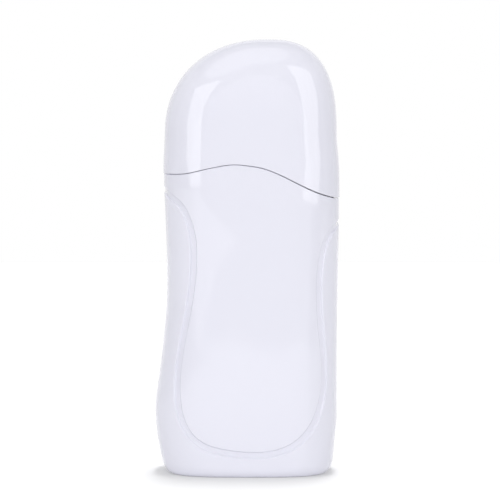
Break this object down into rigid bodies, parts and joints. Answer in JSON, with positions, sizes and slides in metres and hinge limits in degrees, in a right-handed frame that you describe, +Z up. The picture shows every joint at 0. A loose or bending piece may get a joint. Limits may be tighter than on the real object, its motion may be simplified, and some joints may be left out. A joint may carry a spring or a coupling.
{
  "type": "wax warmer",
  "caption": "Roll-on wax warmer with a lift-off domed cap, a wavy seam, a grooved front panel and a heated cartridge well.",
  "frame": {"origin": "middle of the bounding box, at the plane the foot stands on", "axes": "+Z up along the cartridge, the grooved front face looks along -Y, +X to the viewer's right"},
  "size_m": [0.0793, 0.0514, 0.186],
  "materials": {
    "gloss_white": "high gloss",
    "satin_white": "satin",
    "clear_window": "clear polished",
    "aluminium": "mill",
    "zinc_steel": "zinc plated",
    "spring_steel": "rolled",
    "ceramic": "fired, matt",
    "brass": "bright",
    "mica": "flaky sheet",
    "dark_plastic": "fine texture",
    "board_green": "solder mask",
    "terminal_blue": "moulded",
    "amber": "translucent",
    "lead_sleeve": "glass-silicone sleeve"
  },
  "bodies": {
    "body": {"front_shell": "gloss_white", "rear_shell": "gloss_white", "mouth_collar": "satin_white", "base_cover": "satin_white", "shell_screws": "zinc_steel", "sight_window": "clear_window", "heater_well": "aluminium", "well_cradle": "dark_plastic", "cradle_screws": "zinc_steel", "cartridge_springs": "spring_steel", "ptc_tiles": "ceramic", "electrode_plates": "brass", "mica_sheets": "mica", "heater_clamp": "spring_steel", "clamp_screws": "zinc_steel", "thermostat": "brass", "thermal_fuse": "zinc_steel", "inlet_socket": "dark_plastic", "inlet_pins": "brass", "circuit_board": "board_green", "board_screws": "zinc_steel", "terminal_block": "terminal_blue", "lamp_resistor": "ceramic", "indicator_lamp": "amber", "indicator_lens": "amber", "inlet_leads": "lead_sleeve", "heater_leads": "lead_sleeve", "sensor_leads": "lead_sleeve"},
    "cap": {"cap": "gloss_white"}
  },
  "joints": [
    {"name": "cap_lift", "type": "slide", "parent": "body", "child": "cap", "axis": [0, 0, 1], "range_m": [0, 0.06]}
  ]
}
